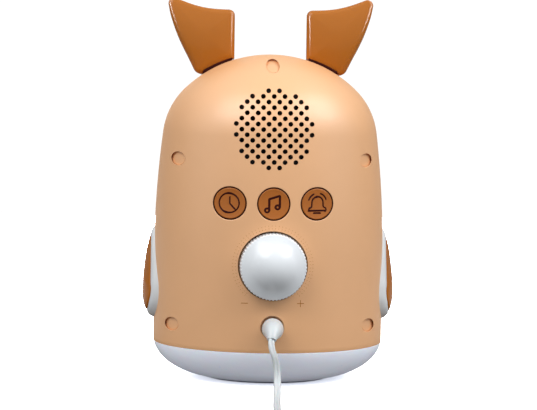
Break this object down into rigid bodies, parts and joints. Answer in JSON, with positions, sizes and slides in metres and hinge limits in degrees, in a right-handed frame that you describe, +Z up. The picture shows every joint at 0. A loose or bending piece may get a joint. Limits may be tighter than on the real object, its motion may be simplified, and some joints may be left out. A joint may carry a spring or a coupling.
{
  "type": "alarm clock",
  "caption": "Bullet-shaped children's bedside alarm clock with a glowing base, folded ears, side paws, a rear speaker, a volume knob, push buttons and a coiled power cord.",
  "frame": {"origin": "on the table, under the middle of the oval body, between the four feet", "axes": "+Z up from the table to the crown; -Y out of the display and face; +Y out of the controls; +X to the clock's own left side, where the time button is"},
  "size_m": [0.1256, 0.2748, 0.1888],
  "materials": {
    "shell_peach": "satin moulded plastic",
    "ear_brown": "smooth semi-gloss moulded plastic",
    "button_brown": "smooth moulded plastic with printed icon",
    "paw_white": "smooth moulded plastic",
    "knob_white": "polished moulded plastic",
    "diffuser_milky": "milky light-diffusing plastic",
    "base_white": "fine moulded texture",
    "rubber_grey": "soft matt rubber",
    "steel": "plated steel",
    "contact_brass": "bare sheet",
    "board_green": "solder-mask laminate",
    "board_white": "white solder-mask laminate",
    "led_lens": "cast resin",
    "chip_black": "moulded epoxy",
    "speaker_steel": "pressed and painted",
    "speaker_paper": "pressed pulp, dyed black",
    "magnet_grey": "sintered ferrite",
    "wire_red": "PVC insulation",
    "window_smoke": "smoked clear plastic",
    "digit_glow": "lit segments",
    "eye_black": "high gloss",
    "muzzle_white": "smooth moulded plastic",
    "nose_brown": "high gloss",
    "foil": "self-adhesive foil",
    "jack_black": "moulded plastic",
    "cord_white": "smooth PVC",
    "usb_steel": "folded and plated sheet"
  },
  "bodies": {
    "housing": {"front_shell": "shell_peach", "rear_cover": "shell_peach", "base_diffuser": "diffuser_milky", "base_plate": "base_white", "rubber_feet": "rubber_grey", "base_screws": "steel", "battery_door": "base_white", "battery_door_screw": "steel", "coin_cell": "steel", "coin_cell_spring": "contact_brass", "light_chassis": "board_white", "led_board": "board_white", "night_light_leds": "led_lens", "left_ear": "ear_brown", "right_ear": "ear_brown", "ear_screws": "steel", "left_paw_rim": "paw_white", "left_paw_pad": "ear_brown", "right_paw_rim": "paw_white", "right_paw_pad": "ear_brown", "cover_screws": "steel", "screw_plugs": "shell_peach", "volume_pot": "chip_black", "volume_pot_nut": "steel", "button_board": "board_green", "button_switches": "chip_black", "button_board_screws": "steel", "speaker_frame": "speaker_steel", "speaker_cone": "speaker_paper", "speaker_magnet": "magnet_grey", "speaker_screws": "steel", "main_board": "board_green", "main_board_parts": "chip_black", "main_board_screws": "steel", "wiring_harness": "wire_red", "display_window": "window_smoke", "display_module": "chip_black", "display_digits": "digit_glow", "eyes": "eye_black", "muzzle": "muzzle_white", "nose": "nose_brown", "touch_pad": "foil", "dc_jack": "jack_black", "dc_plug": "cord_white", "strain_relief": "cord_white", "power_cord": "cord_white", "cord_coil": "cord_white", "cord_tail": "cord_white", "cord_tie": "jack_black", "usb_plug_body": "cord_white", "usb_plug_shell": "usb_steel"},
    "knob": {"knob": "knob_white", "volume_pot_shaft": "steel"},
    "time_button": {"time_button": "button_brown", "time_plunger": "chip_black"},
    "melody_button": {"melody_button": "button_brown", "melody_plunger": "chip_black"},
    "alarm_button": {"alarm_button": "button_brown", "alarm_plunger": "chip_black"}
  },
  "joints": [
    {"name": "volume_turn", "type": "hinge", "parent": "housing", "child": "knob", "pos_m": [0, 0.0481, 0.0606], "axis": [0, -1, 0], "range_deg": [-140, 140]},
    {"name": "time_press", "type": "slide", "parent": "housing", "child": "time_button", "axis": [0, -1, 0], "range_m": [0, 0.0006], "stiffness_N_per_m": 900},
    {"name": "melody_press", "type": "slide", "parent": "housing", "child": "melody_button", "axis": [0, -1, 0], "range_m": [0, 0.0006], "stiffness_N_per_m": 900},
    {"name": "alarm_press", "type": "slide", "parent": "housing", "child": "alarm_button", "axis": [0, -1, 0], "range_m": [0, 0.0006], "stiffness_N_per_m": 900}
  ]
}
